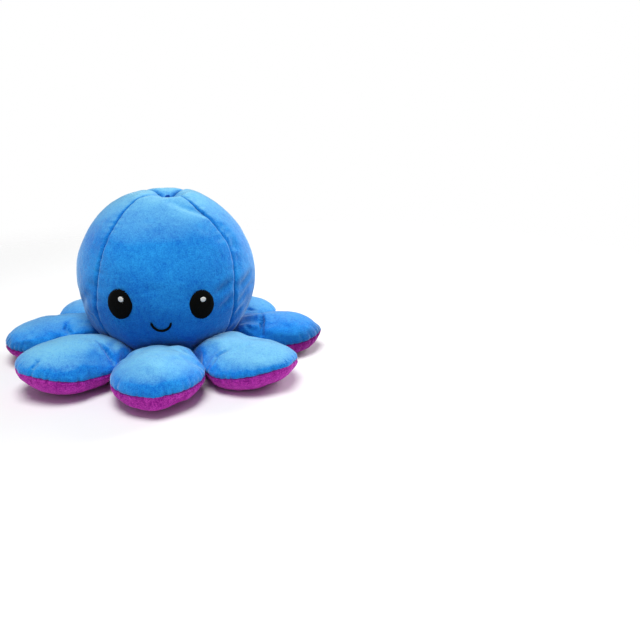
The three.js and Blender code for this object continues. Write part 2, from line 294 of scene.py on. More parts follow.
# Folds pressed into the tops of the legs: how deep each is in mm, and its line in mm out from the hinge and
# across the leg.
LEG_FOLDS = {
    "front": [(0.7, [(29, -19), (24, -24)]), (0.7, [(14, 12), (20, 19)])],
    "front_right": [(1.0, [(27, -13), (24, -19), (25, -23)]), (0.7, [(12, 12), (20, 18)])],
    "right": [(1.6, [(18, 2), (18, -8), (18, -20)]), (0.8, [(8, -12), (10, -17)])],
    "back_right": [(1.0, [(11, -8), (20, -17)]), (0.8, [(13, 10), (22, 18)])],
    "back": [(1.0, [(10, 11), (20, 18)]), (0.8, [(15, -6), (16, -17)])],
    "back_left": [(1.0, [(9, -10), (22, -18)]), (0.9, [(13, 8), (18, 17)])],
    "left": [(0.9, [(20, 10), (20, 14), (17, 18)]), (0.7, [(18, -10), (26, -17)])],
    "front_left": [(1.5, [(17, 9), (17, 15), (17, 22)]), (1.0, [(52, 6), (57, 8)])],
}

# Folds pressed into the head beside its seams, by turn and climb in degrees, and how deep each is in mm.
CHEEK_FOLDS = [
    ((37, 0), (50, 5), 1.2),
    ((40, -11), (50, -7), 1.0),
    ((57, 0), (74, 5), 1.3),
    ((56, -11), (68, -6), 1.0),
    ((55, -21), (64, -17), 0.9),
    ((58, 22), (66, 30), 0.5),
    ((-46, -4), (-56, -1), 0.5),
    ((-48, -18), (-58, -14), 0.6),
]

NECK_CLIMB = math.asin((NECK_HEIGHT - HEAD_WAIST) / HEAD_WAIST)
hinge_place = Vector(frame["joints"][0]["pos_m"])
HINGE_OUT = math.hypot(hinge_place.x, hinge_place.y)
HINGE_UP = hinge_place.z
ROOT_CLEARANCE = LEG_ROOT + ROOT_GAP
LEG_LENGTH = (cad_box[1].x - cad_box[0].x) / 2 - HINGE_OUT + LEG_ROOT


# Handling of pieces
def only(piece):
    bpy.ops.object.select_all(action="DESELECT")
    piece.select_set(True)
    bpy.context.view_layer.objects.active = piece


def places(piece):
    found = np.empty(len(piece.data.vertices) * 3)
    piece.data.vertices.foreach_get("co", found)
    return found.reshape(-1, 3)


def put(piece, points):
    piece.data.vertices.foreach_set("co", np.ascontiguousarray(points, dtype=np.float32).ravel())
    piece.data.update()


def outward(piece):
    found = np.empty(len(piece.data.vertices) * 3)
    piece.data.vertex_normals.foreach_get("vector", found)
    return found.reshape(-1, 3)


def mark(piece, name, values):
    note = piece.data.attributes.new(name, "FLOAT", "POINT")
    note.data.foreach_set("value", np.asarray(values, dtype=np.float32))


def marked(piece, name):
    found = np.empty(len(piece.data.vertices))
    piece.data.attributes[name].data.foreach_get("value", found)
    return found


def apply(piece, kind, settings):
    """Adds a modifier with its settings and applies it."""
    only(piece)
    step = piece.modifiers.new(kind.title(), kind)
    for name, value in settings.items():
        setattr(step, name, value)
    bpy.ops.object.modifier_apply(modifier=step.name)


def finer(piece, levels):
    apply(piece, "SUBSURF", {"levels": levels, "render_levels": levels})


def lumps(piece, size, strength):
    """Uneven filling or pile: a gentle cloud of bumps of one size."""
    cloud = bpy.data.textures.new(piece.name + "_lumps", "CLOUDS")
    cloud.noise_scale = size
    settings = {"texture": cloud, "texture_coords": "LOCAL", "strength": strength, "mid_level": 0.5}
    apply(piece, "DISPLACE", settings)


def thicken(piece):
    """Gives the cloth its thickness, inwards."""
    apply(piece, "SOLIDIFY", {"thickness": FABRIC, "offset": -1.0, "use_even_offset": False})


def work_on(piece, kind, parts, chosen, step, **settings):
    """Does one editing step on the chosen vertices or edges of a piece."""
    only(piece)
    bpy.ops.object.mode_set(mode="EDIT")
    bpy.ops.mesh.select_mode(type=kind)
    bpy.ops.mesh.select_all(action="DESELECT")
    bpy.ops.object.mode_set(mode="OBJECT")
    for i in np.flatnonzero(chosen):
        parts[int(i)].select = True
    bpy.ops.object.mode_set(mode="EDIT")
    step(**settings)
    bpy.ops.object.mode_set(mode="OBJECT")


def ball(name, columns, rings, open_below):
    """A round skin to be shaped, with each vertex's share of the way down it and its turn about the axis."""
    bpy.ops.mesh.primitive_uv_sphere_add(segments=columns, ring_count=rings, radius=1)
    piece = bpy.context.object
    piece.name = name
    if open_below:
        lowest = places(piece)[:, 2] < TINY - 1
        work_on(piece, "VERT", piece.data.vertices, lowest, bpy.ops.mesh.delete, type="VERT")
    x, y, z = places(piece).T
    down = np.arccos(np.clip(z, -1, 1)) / math.pi
    if open_below:
        down = down * rings / (rings - 1)
    return piece, down, np.arctan2(x, -y)


def sort_faces(piece, order):
    """Gives each face the number of the cloth panel that it belongs to."""
    for _ in range(int(order.max()) + 1):
        piece.data.materials.append(None)
    piece.data.polygons.foreach_set("material_index", order.astype(np.int32))


def face_middles(piece):
    found = np.empty(len(piece.data.polygons) * 3)
    piece.data.polygons.foreach_get("center", found)
    return found.reshape(-1, 3)


def work_whole(piece, step, **settings):
    """Does one editing step on the whole of a piece."""
    only(piece)
    bpy.ops.object.mode_set(mode="EDIT")
    bpy.ops.mesh.select_all(action="SELECT")
    step(**settings)
    bpy.ops.object.mode_set(mode="OBJECT")


def part(piece):
    """Takes a skin apart into its cloth panels."""
    work_whole(piece, bpy.ops.mesh.separate, type="MATERIAL")
    return list(bpy.context.selected_objects)


def face_out(piece):
    """Turns all faces of a closed piece outward."""
    work_whole(piece, bpy.ops.mesh.normals_make_consistent, inside=False)


def dress(piece, name, finish):
    """Names a finished piece and gives it its material."""
    piece.name = name
    piece.data.name = name
    piece.data.materials.clear()
    piece.data.materials.append(finish)
    only(piece)
    bpy.ops.object.shade_smooth_by_angle(angle=CREASE)
    return piece


def stand_for(piece, node, made_of, finish):
    """Dresses a piece that takes the place of a node of the frame."""
    dress(piece, f"{node}_{made_of}", finish)
    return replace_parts(piece, node)


# Shapes
def on_turn(turn, radius, height):
    return np.stack([radius * np.sin(turn), -radius * np.cos(turn), height], axis=-1)


def leg_side(turn):
    """How far the straight root line of a leg lies from the axis, as a share of its distance in mid leg."""
    off = turn - np.round(turn / LEG_STEP) * LEG_STEP
    return 1 / np.cos(off)


def head_place(turn, climb, depth):
    rise = np.where(climb > 0, HEAD_RISE, HEAD_WAIST)
    slope_out = np.cos(climb) / HEAD_RADIUS
    slope_up = np.sin(climb) / rise
    size = np.hypot(slope_out, slope_up)
    radius = HEAD_RADIUS * np.cos(climb) - depth * slope_out / size
    height = HEAD_WAIST + rise * np.sin(climb) - depth * slope_up / size
    low = np.clip(climb / NECK_CLIMB, 0, 1) ** 2
    straight = 1 + low * (leg_side(turn) - 1)
    dip = CROWN_DIP * np.exp(-((radius / CROWN_DIP_RADIUS) ** 2)) * (climb > 0)
    off_cheek = np.angle(np.exp(1j * (turn - CHEEK_TURN))) / CHEEK_SPREAD
    fuller = CHEEK_FULL * np.exp(-off_cheek ** 2) * np.cos(climb) ** 2 * (1 - low)
    lean = np.exp(-((radius / CROWN_LEAN_RADIUS) ** 2)) * (climb > 0)
    upright = on_turn(turn, (radius + fuller) * straight, height - dip)
    from_notch = np.linalg.norm(upright[..., :2] - np.array(CROWN_NOTCH_PLACE), axis=-1) / CROWN_NOTCH_RADIUS
    upright[..., 2] -= CROWN_NOTCH * np.exp(-from_notch ** 2) * (climb > 0)
    return upright + lean[..., None] * np.array(CROWN_LEAN)


def panel_turn(panel, climb, across):
    """The turn of a place across a panel. The seam between the front and right panels bows to the right."""
    front = PANEL_HALF_ANGLE - PANEL_SPREAD * np.sin(climb)
    half = np.where(panel % 2 == 1, math.pi / 2 - front, front)
    bow = SEAM_BOW * np.exp(-(((climb - SEAM_BOW_CLIMB) / SEAM_BOW_SPREAD) ** 2))
    beside = np.where(panel == 0, 1 + across, np.where(panel == 1, 1 - across, 0)) / 2
    return HEAD_TURN + panel * math.pi / 2 + half * across + bow * beside


def panel_place(turn):
    """The panel that a column of a round skin falls in, and its place across it from -1 to 1."""
    share = (turn / FULL_TURN + 1 / 8) % 1 * len(SIDES)
    panel = np.floor(share + TINY)
    across = 2 * (share - panel) - 1
    return panel % len(SIDES), (1 - SEAM_CLOSER) * across + SEAM_CLOSER * np.sin(across * math.pi / 2)


def sort_panels(skin):
    x, y, _ = face_middles(skin).T
    sort_faces(skin, panel_place(np.arctan2(x, -y))[0])


def unit(vectors):
    return vectors / np.linalg.norm(vectors, axis=1)[:, None]


def run_along(points):
    """How far along a line each of its points is."""
    steps = np.linalg.norm(np.diff(points, axis=0), axis=1)
    return np.concatenate([[0], np.cumsum(steps)])


def resample(points, shares):
    """Points along a line at the given shares of its length."""
    run = run_along(points)
    return np.stack([np.interp(shares * run[-1], run, column) for column in points.T], axis=-1)


def heading(points, shares):
    """The direction of a line at the given shares of its length."""
    ahead = resample(points, np.minimum(shares + HEADING_STEP, 1))
    return unit(ahead - resample(points, np.maximum(shares - HEADING_STEP, 0)))


def ellipse_arc(middle, radii, start, end):
    angle = np.linspace(start, end, ARC_POINTS)
    return np.stack([middle[0] + radii[0] * np.cos(angle), middle[1] + radii[1] * np.sin(angle)], axis=-1)


def lining_outline():
    """Outline of the lining from its crown, down the pocket, round the padded lip and up to the neck."""
    outer = HINGE_OUT - ROOT_CLEARANCE
    curl = (outer - MOUTH_RADIUS - LIP_FLAT) / 2
    share = np.linspace(0, 1, ARC_POINTS)[:, None]
    top = np.array([POCKET_RADIUS, POCKET_WAIST])
    bend = np.array([POCKET_RADIUS, (LIP_HEIGHT + POCKET_WAIST) / 2])
    mouth = np.array([MOUTH_RADIUS, LIP_HEIGHT])
    wall = (1 - share) ** 2 * top + 2 * share * (1 - share) * bend + share ** 2 * mouth
    dome = ellipse_arc((0, POCKET_WAIST), (POCKET_RADIUS, POCKET_TOP - POCKET_WAIST), math.pi / 2, 0)
    inner = ellipse_arc((MOUTH_RADIUS + curl, LIP_HEIGHT), (curl, LIP_HEIGHT), math.pi, 1.5 * math.pi)
    rim = ellipse_arc((outer - curl, LIP_HEIGHT), (curl, LIP_HEIGHT), 1.5 * math.pi, FULL_TURN)
    neck = ellipse_arc((HINGE_OUT, HINGE_UP), (ROOT_CLEARANCE, ROOT_CLEARANCE), math.pi, LINING_END)
    return np.concatenate([dome, wall, inner, rim, neck])


def leg_outline(along, widest, point):
    """Half the width along a leg, as a share of the widest: it opens from the root and closes at the tip."""
    opening = np.sqrt(1 - ((widest - along) / (widest + ROOT_BEHIND)) ** 2)
    closing = np.maximum(1 - (np.maximum(along - widest, 0) / (1 - widest)) ** 2, 0) ** point
    return np.where(along < widest, opening, closing)


def swell(along, peak, point):
    """From nothing at the root up to 1 at the peak and back to nothing at the tip."""
    return (along / peak) ** (point * peak) * ((1 - along) / (1 - peak)) ** (point * (1 - peak))


def at_root(along):
    """How far a place along a leg belongs to its root, where it is sewn to its neighbours and the head."""
    away = np.clip((along - ROOT_SHARE[0]) / (ROOT_SHARE[1] - ROOT_SHARE[0]), 0, 1)
    return 1 - away * away * (3 - 2 * away)


def leg_place(along, angle, inset, name):
    """A point of a leg from its hinge: out, across and up."""
    turn, reach, full, wide, upturn, sag = LEG_WAYS[name]
    widest, top_peak, under_peak, point, side_point = LEG_SHAPES[name]
    length = LEG_LENGTH + reach * MM
    root = at_root(along)
    out = -LEG_ROOT + inset + along * (length - 2 * inset)
    reached = np.where(out > 0, out * math.cos(LEG_DROOP), out)
    room = math.tan(LEG_STEP / 2) * (HINGE_OUT + reached) - LEG_GAP / 2
    outline = leg_outline(along, widest, point)
    seam_room = SEAM_ROOM * outline * (1 - np.abs(np.sin(angle))) * (1 - root)
    cut = LEG_WIDTH * wide / 2 * outline * (1 + ROOT_FLARE * root)
    half = np.maximum(np.minimum(cut, room) - inset + seam_room, 0)
    over = (LEG_CROWN * (full + (ROOT_FULL - full) * root) - inset) * swell(along, top_peak, side_point)
    under = (HINGE_UP + FLOOR_CUT - inset) * swell(along, under_peak, side_point)
    blunt = LEG_BLUNT + (ROOT_BLUNT - LEG_BLUNT) * root
    lift = np.where(np.sin(angle) > 0, over, -under) * np.abs(np.sin(angle)) ** blunt
    lift = lift + upturn * MM * along ** 3 - sag * MM * np.sin(math.pi * along)
    lift = np.maximum(lift, inset - HINGE_UP)
    side = half * np.sign(np.cos(angle)) * np.abs(np.cos(angle)) ** blunt
    lean = turn * DEGREE * np.clip(along, 0, 1)
    return np.stack([out * np.cos(lean) - side * np.sin(lean),
                     out * np.sin(lean) + side * np.cos(lean), lift], axis=-1)


def leg_axes(number):
    turn = number * LEG_STEP
    out = np.array([math.sin(turn), -math.cos(turn), 0])
    across = np.array([math.cos(turn), math.sin(turn), 0])
    return out, across


def from_hinge(points, number):
    out, across = leg_axes(number)
    forward, sideways, up = points.T
    flat = np.outer(HINGE_OUT + forward, out) + np.outer(sideways, across)
    return flat + np.outer(HINGE_UP + up, [0, 0, 1])


# Filling
def stuff(skins):
    """Swells sewn skins with their filling. Each has how firmly its points are sewn, and its stuffing."""
    scene = bpy.context.scene
    before = {}
    for skin, sewn, (push, slack, _) in skins:
        before[skin.name] = places(skin)
        held = skin.vertex_groups.new(name="sewn")
        held.add([int(i) for i in np.flatnonzero(sewn > 1 - TINY)], 1, "REPLACE")
        cloth = skin.modifiers.new("Filling", "CLOTH")
        for name, value in CLOTH.items():
            setattr(cloth.settings, name, value)
        cloth.settings.vertex_group_mass = "sewn"
        cloth.settings.use_pressure = True
        cloth.settings.uniform_pressure_force = push
        cloth.settings.shrink_min = -slack
        cloth.settings.effector_weights.gravity = 0
        cloth.collision_settings.use_collision = False
        cloth.point_cache.frame_start = 1
        cloth.point_cache.frame_end = FILLING_FRAMES
    for step in range(1, FILLING_FRAMES + 1):
        scene.frame_set(step)
    for skin, sewn, (_, _, reach) in skins:
        only(skin)
        bpy.ops.object.modifier_apply(modifier="Filling")
        start = before[skin.name]
        moved = places(skin) - start
        far = np.linalg.norm(moved, axis=1)
        given = (1 - sewn) * reach * np.tanh(far / reach) / np.maximum(far, TINY)
        put(skin, start + moved * given[:, None])
    scene.frame_set(1)


# Seams and folds
def nearest_on(points, lines):
    """Distance from each point to the nearest line, and how far along all the lines that is."""
    together = np.concatenate(lines)
    tree = KDTree(len(together))
    for number, place in enumerate(together):
        tree.insert(place, number)
    tree.balance()
    runs = []
    offset = 0.0
    for line in lines:
        runs.append(offset + run_along(line))
        offset = runs[-1][-1]
    found = [tree.find(place) for place in points]
    index = np.array([hit[1] for hit in found])
    return np.array([hit[2] for hit in found]), np.concatenate(runs)[index]


def press_in(piece, points, out, drop):
    """Moves the cloth in, and notes how far each spot has gone in altogether, for the painted shade that
    darkens seams and folds.
    """
    put(piece, points - out * drop[:, None])
    note = piece.data.attributes.get("depth_painted_dark") or piece.data.attributes.new("depth_painted_dark", "FLOAT", "POINT")
    note.data.foreach_set("value", (marked(piece, "depth_painted_dark") + drop).astype(np.float32))


def paint_light_and_shade(piece, painted_light_above, painted_shade_below, share, painted_shade_share):
    """Notes painted light: how much paler the pile is painted where it faces up, as if lit from above. Less
    than nothing is painted shade, saying how much deeper its colour is painted further down."""
    rise = outward(piece)[:, 2]
    up = np.clip((rise - painted_light_above) / (1 - painted_light_above), 0, 1)
    start, end = painted_shade_below
    below = np.clip((start - rise) / (start - end), 0, 1)
    mark(piece, "painted_light_and_shade", share * up - painted_shade_share * below)


def draw_in(piece, lines, out, seam, seed):
    """Draws the cloth in at its seams, with small puckers across them."""
    width, depth, pucker, spacing = seam
    points = places(piece)
    away, run = nearest_on(points, lines)
    roll = np.clip(1 - away / width, 0, 1)
    drop = depth * (1 - np.sqrt(1 - roll ** 2))
    chance = np.random.RandomState(seed)
    total = run.max()
    stitch = chance.uniform(0, spacing)
    while stitch < total:
        thin = chance.uniform(*PUCKER_THIN) * spacing
        length = chance.uniform(*PUCKER_LONG) * width
        depth_painted_dark = pucker * chance.uniform(*PUCKER_DEPTH)
        drop += depth_painted_dark * np.exp(-((run - stitch) / thin) ** 2) * np.exp(-((away / length) ** 2))
        stitch += spacing * chance.uniform(*PUCKER_SPACING)
    press_in(piece, points, out, drop)


def press_fold(piece, line, out, width, depth):
    """Presses a fold into the cloth, with the cloth raised a little beside it."""
    points = places(piece)
    away, run = nearest_on(points, [line])
    ends = np.sin(math.pi * np.clip(run / run.max(), *FOLD_ENDS)) ** 0.5
    beside = (away - 2 * width) / width
    drop = depth * (np.exp(-((away / width) ** 2)) - FOLD_RIDGE * np.exp(-beside ** 2))
    press_in(piece, points, out, drop * ends)


def above_floor(piece):
    points = places(piece)
    points[:, 2] = np.maximum(points[:, 2], 0)
    put(piece, points)


# Head
def head_skin():
    skin, down, turn = ball("head", HEAD_COLUMNS, HEAD_RINGS, True)
    panel, across = panel_place(turn)
    climb = math.pi / 2 + (NECK_CLIMB - math.pi / 2) * np.minimum(down / HEM_START, 1)
    hem = np.clip((down - HEM_START) / (1 - HEM_START), 0, 1)
    sort_panels(skin)
    points = head_place(panel_turn(panel, climb, across), climb, STUFFING_ROOM)
    points[:, 2] -= HEM_DROP * hem
    put(skin, points)
    on_seam = np.abs(across) > 1 - TINY
    mark(skin, "seam", on_seam)
    mark(skin, "down", down)
    mark(skin, "which", panel)
    pinch = np.linalg.norm((points - np.array(CROWN_LEAN))[:, :2], axis=1) < CROWN_PINCH
    return skin, (on_seam | (hem > 0) | (pinch & (climb > 0))).astype(float)


def panel_seams(skin):
    """The lines along which a skin's four panels are sewn together, from the crown down."""
    points = places(skin)
    down = marked(skin, "down")
    on_seam = (marked(skin, "seam") > ON_SEAM) & (down > SEAM_START)
    which = np.round(marked(skin, "which"))
    chosen = [on_seam & (which == number) for number in range(len(SIDES))]
    return [points[seam][np.argsort(down[seam])] for seam in chosen]


def head_out(points):
    """The direction out of the rounded head, without the seams and dimples."""
    rise = np.where(points[:, 2] > HEAD_WAIST, HEAD_RISE, HEAD_WAIST)
    out = points - np.array([0, 0, HEAD_WAIST])
    out[:, :2] /= HEAD_RADIUS ** 2
    out[:, 2] /= rise ** 2
    return unit(out)


def finish_head(skin):
    finer(skin, 2)
    lumps(skin, *HEAD_LUMPS)
    draw_in(skin, panel_seams(skin), head_out(places(skin)), HEAD_SEAM, 11)
    for line in panel_seams(skin):
        at_crown = line[np.hypot(line[:, 0], line[:, 1]) < CROWN_FOLD_REACH]
        press_fold(skin, at_crown, head_out(places(skin)), CROWN_FOLD_WIDTH, CROWN_FOLD_DEPTH)
    for start, end, depth in CHEEK_FOLDS:
        turn, climb = np.linspace(start, end, 14).T * DEGREE
        press_fold(skin, head_place(turn, climb, 0), head_out(places(skin)), CHEEK_FOLD_WIDTH, depth * MM)
    seams = panel_seams(skin)
    # painted light on the top of the head and painted shade on its lower part
    paint_light_and_shade(skin, HEAD_PAINTED_LIGHT_ABOVE, HEAD_PAINTED_SHADE_BELOW, 1, HEAD_PAINTED_SHADE)
    lumps(skin, *PILE)
    return seams


# Lining
def lining_skin():
    skin, down, turn = ball("lining", LINING_COLUMNS, LINING_RINGS, True)
    sort_panels(skin)
    panel, across = panel_place(turn)
    turn = panel_turn(panel, np.full(len(turn), NECK_CLIMB), across)
    outline = lining_outline()
    at = resample(outline, down)
    ahead = heading(outline, down)
    outer = HINGE_OUT - ROOT_CLEARANCE
    on_lip = np.clip((at[:, 0] - MOUTH_RADIUS) / (outer - MOUTH_RADIUS), 0, 1) * (at[:, 1] < LIP_HEIGHT * 1.4)
    face = np.exp(-((np.angle(np.exp(1j * (turn - FACE_TURN))) / INNER_FACE_SPREAD) ** 4))
    face = face * np.exp(-(((at[:, 1] - INNER_FACE_HEIGHT) / INNER_FACE_REACH) ** 4))
    wander = sum(size * np.sin(count * turn + start) for size, count, start in PLEAT_WANDER)
    wave = 0.5 + 0.5 * np.sin(PLEATS * turn + PLEAT_SWAY * wander)
    swing = np.clip(down / PLEAT_FADE, 0, 1) * np.clip((1 - down) / PLEAT_FADE, 0, 1)
    deep = PLEAT_DEPTH * wave ** 2 * swing * (1 - face) * (1 - LIP_PRESSED * on_lip)
    inward = np.stack([-ahead[:, 1], ahead[:, 0]], axis=-1)
    at = at + inward * deep[:, None]
    straight = 1 + on_lip * (leg_side(turn) - 1)
    put(skin, on_turn(turn, at[:, 0] * straight, at[:, 1]))
    mark(skin, "seam", np.abs(across) > 1 - TINY)
    mark(skin, "which", panel)
    mark(skin, "down", down)
    return skin


def finish_lining(skin):
    work_whole(skin, bpy.ops.mesh.flip_normals)
    finer(skin, 1)
    lumps(skin, *LINING_LUMPS)
    draw_in(skin, panel_seams(skin), outward(skin), LINING_SEAM, 23)
    lumps(skin, *LINING_PILE)
    above_floor(skin)


# Legs
def leg_skin(number):
    name = LEGS[number]
    skin, down, angle = ball("leg_" + name, LEG_COLUMNS, LEG_RINGS, False)
    middles = face_middles(skin)
    sort_faces(skin, (middles[:, 0] < 0).astype(int))
    along = (1 - np.cos(math.pi * down)) / 2
    inset = STUFFING_ROOM * (1 - at_root(along))
    local = leg_place(along, math.pi - angle, inset, name)
    put(skin, from_hinge(local, number))
    on_seam = np.abs(np.sin(angle)) < TINY
    mark(skin, "seam", on_seam)
    mark(skin, "along", along)
    start, end = TIP_FIRM_SHARE
    firm_tip = np.clip((along - start) / (end - start), 0, TIP_FIRM)
    return skin, np.maximum(on_seam | (along < ROOT_SEWN), firm_tip)


def round_tip(skin, along):
    """Rounds off the tip of a leg, where its two seams meet."""
    tip = skin.vertex_groups.new(name="tip")
    tip.add([int(i) for i in np.flatnonzero(along > 1 - TIP_SHARE / 2)], 1, "REPLACE")
    apply(skin, "SMOOTH", {"factor": 0.5, "iterations": TIP_ROUNDS, "vertex_group": "tip"})


def finish_leg(skin, number):
    name = LEGS[number]
    finer(skin, 2)
    above_floor(skin)
    lumps(skin, *LEG_LUMPS)
    points = places(skin)
    on_seam = marked(skin, "seam") > ON_SEAM
    along = marked(skin, "along")
    out, across = leg_axes(number)
    side = points @ across
    lines = []
    for hand in (-1, 1):
        chosen = on_seam & (side * hand > 0)
        lines.append(points[chosen][np.argsort(along[chosen])])
    middle = out * (HINGE_OUT + LEG_MIDDLE * LEG_LENGTH)
    sideways = (points - middle) * np.array([1, 1, 0])
    sideways /= np.linalg.norm(sideways, axis=1)[:, None] + TINY
    away, _ = nearest_on(points, lines)
    roll = np.clip(away / LEG_EDGE, 0, 1)[:, None]
    edge_out = sideways * (1 - roll) + outward(skin) * roll
    drawn = (1 - ROOT_LOOSE * at_root(along)) * np.clip((1 - along) / TIP_SHARE, 0, 1)
    draw_in(skin, lines, edge_out * drawn[:, None], LEG_SEAM, 40 + number)
    for depth, way in LEG_FOLDS[name]:
        points = places(skin)
        plan = np.stack([points @ out - HINGE_OUT, points @ across], axis=-1)
        top = np.flatnonzero(points[:, 2] > HINGE_UP + FOLD_ABOVE)
        line = []
        for spot in resample(np.array(way) * MM, np.linspace(0, 1, FOLD_POINTS)):
            line.append(points[top[np.argmin(((plan[top] - spot) ** 2).sum(axis=1))]])
        press_fold(skin, np.array(line), outward(skin), LEG_FOLD_WIDTH, depth * MM)
    # painted light on the top of the leg and painted shade down its sides
    paint_light_and_shade(skin, LEG_PAINTED_LIGHT_ABOVE, LEG_PAINTED_SHADE_BELOW, *LEG_PAINTED_LIGHT_AND_SHADE[name])
    lumps(skin, *PILE)
    round_tip(skin, along)
    above_floor(skin)


def leg_fill(number):
    name = LEGS[number]
    fill, down, angle = ball("leg_" + name + "_fill", LEG_FILL_COLUMNS, LEG_FILL_RINGS, False)
    along = (1 - np.cos(math.pi * down)) / 2
    local = leg_place(along, math.pi - angle, FILL_INSET, name)
    put(fill, from_hinge(local, number))
    finer(fill, 1)
    lumps(fill, *LEG_FILL_LUMPS)
    return fill


# Filling of the head and the thread that ties its crown down
def head_filling():
    bpy.ops.mesh.primitive_torus_add(
        major_segments=HEAD_FILL_COLUMNS, minor_segments=HEAD_FILL_RINGS, major_radius=1, minor_radius=0.25)
    fill = bpy.context.object
    x, y, z = places(fill).T
    turn = np.arctan2(x, -y)
    share = (np.arctan2(z, np.hypot(x, y) - 1) / FULL_TURN) % 1
    climb = np.linspace(0.8 * NECK_CLIMB, math.pi / 2 - 0.07, HEAD_FILL_RINGS)
    outer = head_place(np.zeros(len(climb)), climb, FILL_INSET)
    outer = np.stack([-outer[:, 1], outer[:, 2]], axis=-1)
    inner = lining_outline()
    inner = inner[(inner[:, 0] > FILL_OFF_TACK) & (inner[:, 1] > 2 * LIP_HEIGHT)]
    inner = inner + np.array(FILL_OFF_LINING)
    loop = np.concatenate([outer, inner, outer[:1]])
    at = resample(loop, share)
    put(fill, on_turn(turn, at[:, 0], at[:, 1]))
    face_out(fill)
    lumps(fill, *HEAD_FILL_LUMPS)
    return fill


def crown_thread():
    """A doubled thread with a knot of three loops at each end."""
    top = HEAD_WAIST + HEAD_RISE - CROWN_DIP - STUFFING_ROOM
    bottom = POCKET_TOP
    bpy.ops.mesh.primitive_cylinder_add(
        vertices=12, radius=TACK_RADIUS, depth=top - bottom, location=(0, 0, (top + bottom) / 2))
    made = [bpy.context.object]
    for height in (bottom - KNOT_OFF[0], top + KNOT_OFF[1]):
        for tilt in (0, 60, 120):
            bpy.ops.mesh.primitive_torus_add(
                major_segments=20, minor_segments=8, major_radius=KNOT_RADIUS, minor_radius=KNOT_THREAD,
                location=(0, 0, height), rotation=(KNOT_TILT, 0, tilt * DEGREE))
            made.append(bpy.context.object)
    only(made[0])
    for loop in made[1:]:
        loop.select_set(True)
    bpy.ops.object.join()
    bpy.ops.object.transform_apply(location=True, rotation=True, scale=True)
    points = places(made[0])
    put(made[0], points + np.outer((points[:, 2] - bottom) / (top - bottom), CROWN_LEAN))
    return made[0]


# Embroidery
def thread_rows(count, segments, lay):
    """A row of laid threads. Each is laid by its number, the place along it from -1 to 1 and its section."""
    bpy.ops.mesh.primitive_cylinder_add(vertices=6, radius=0.5, depth=2, rotation=(0, math.pi / 2, 0))
    bpy.ops.object.transform_apply(location=True, rotation=True, scale=True)
    thread = bpy.context.object
    edges = thread.data.edges
    x = places(thread)[:, 0]
    lengthwise = [abs(x[edge.vertices[0]] - x[edge.vertices[1]]) > 1 for edge in edges]
    work_on(thread, "EDGE", edges, lengthwise, bpy.ops.mesh.subdivide, number_cuts=segments - 1)
    settings = {"count": count, "use_relative_offset": False, "use_constant_offset": True,
                "constant_offset_displace": (0, 2, 0)}
    apply(thread, "ARRAY", settings)
    x, y, z = places(thread).T
    row = np.round(y / 2)
    put(thread, lay(row, x, y - 2 * row, z))
    face_out(thread)
    return thread


def on_head(across, up, lift):
    rolled_across = across * math.cos(FACE_ROLL) + up * math.sin(FACE_ROLL)
    rolled_up = up * math.cos(FACE_ROLL) - across * math.sin(FACE_ROLL)
    return head_place(FACE_TURN + rolled_across / HEAD_RADIUS, rolled_up / HEAD_WAIST, -lift)


def on_lining(across, up, lift):
    """A place on the wall of the pocket, which with its dome comes first in the outline of the lining."""
    wall = lining_outline()[:2 * ARC_POINTS]
    height = INNER_FACE_HEIGHT + up
    radius = np.interp(-height, -wall[:, 1], wall[:, 0]) - lift
    return on_turn(FACE_TURN - across / POCKET_RADIUS, radius, height)


def satin_patch(surface, middle, tilt, size, span, base, rise):
    """A filled patch of satin stitch: side by side threads over a low padded dome."""
    width, height = size
    count = int(round(height / SATIN_SPACING))

    def lay(row, x, aside, above):
        up = height * ((row + 0.5) / count - 0.5)
        low, high = span(up)
        ragged = SATIN_RAGGED * np.sin(row * SATIN_UNEVEN)
        across = (low + high) / 2 + x * ((high - low) / 2 + ragged)
        along = up + aside * SATIN_WIDE
        dome = np.clip(1 - (across / (width / 2)) ** 2 - (up / (height / 2)) ** 2, 0, 1)
        lift = base + rise * dome ** 0.5 + above * SATIN_HIGH - SATIN_TUCKED * x ** 8
        turned_across = across * math.cos(tilt) - along * math.sin(tilt)
        turned_up = across * math.sin(tilt) + along * math.cos(tilt)
        return surface(middle[0] + turned_across, middle[1] + turned_up, lift)

    return thread_rows(count, segments=10, lay=lay)


def satin_line(surface, width, depth, top):
    """A curved line of satin stitch: short threads laid across half an oval."""
    count = int(round(HALF_OVAL * (width + 2 * abs(depth)) / SATIN_SPACING))

    def lay(row, x, aside, above):
        angle = math.pi * (row + 0.5) / count
        out = x * SMILE_STROKE / 2 * np.clip(np.sin(angle) * SMILE_TAPER + SMILE_END, 0, 1)
        slide = aside * SATIN_WIDE
        across = (width / 2 + out) * np.cos(angle) - slide * np.sin(angle)
        up = -(depth + math.copysign(1, depth) * out) * np.sin(angle) - slide * np.cos(angle)
        lift = SMILE_RISE * (1 - x * x) + above * SATIN_HIGH
        return surface(across, top + up, lift)

    return thread_rows(count, segments=4, lay=lay)


def oval(width, height):
    def span(up):
        half = width / 2 * np.sqrt(np.clip(1 - (up / (height / 2)) ** 2, 0.004, 1))
        return -half, half
    return span


def scowling(width, height, hand):
    whole = oval(width, height)

    def span(up):
        low, high = whole(up)
        edge = (up * math.cos(SCOWL) - SCOWL_CUT) / math.sin(SCOWL)
        if hand > 0:
            return np.minimum(np.maximum(low, edge), high), high
        return low, np.maximum(np.minimum(high, -edge), low)
    return span


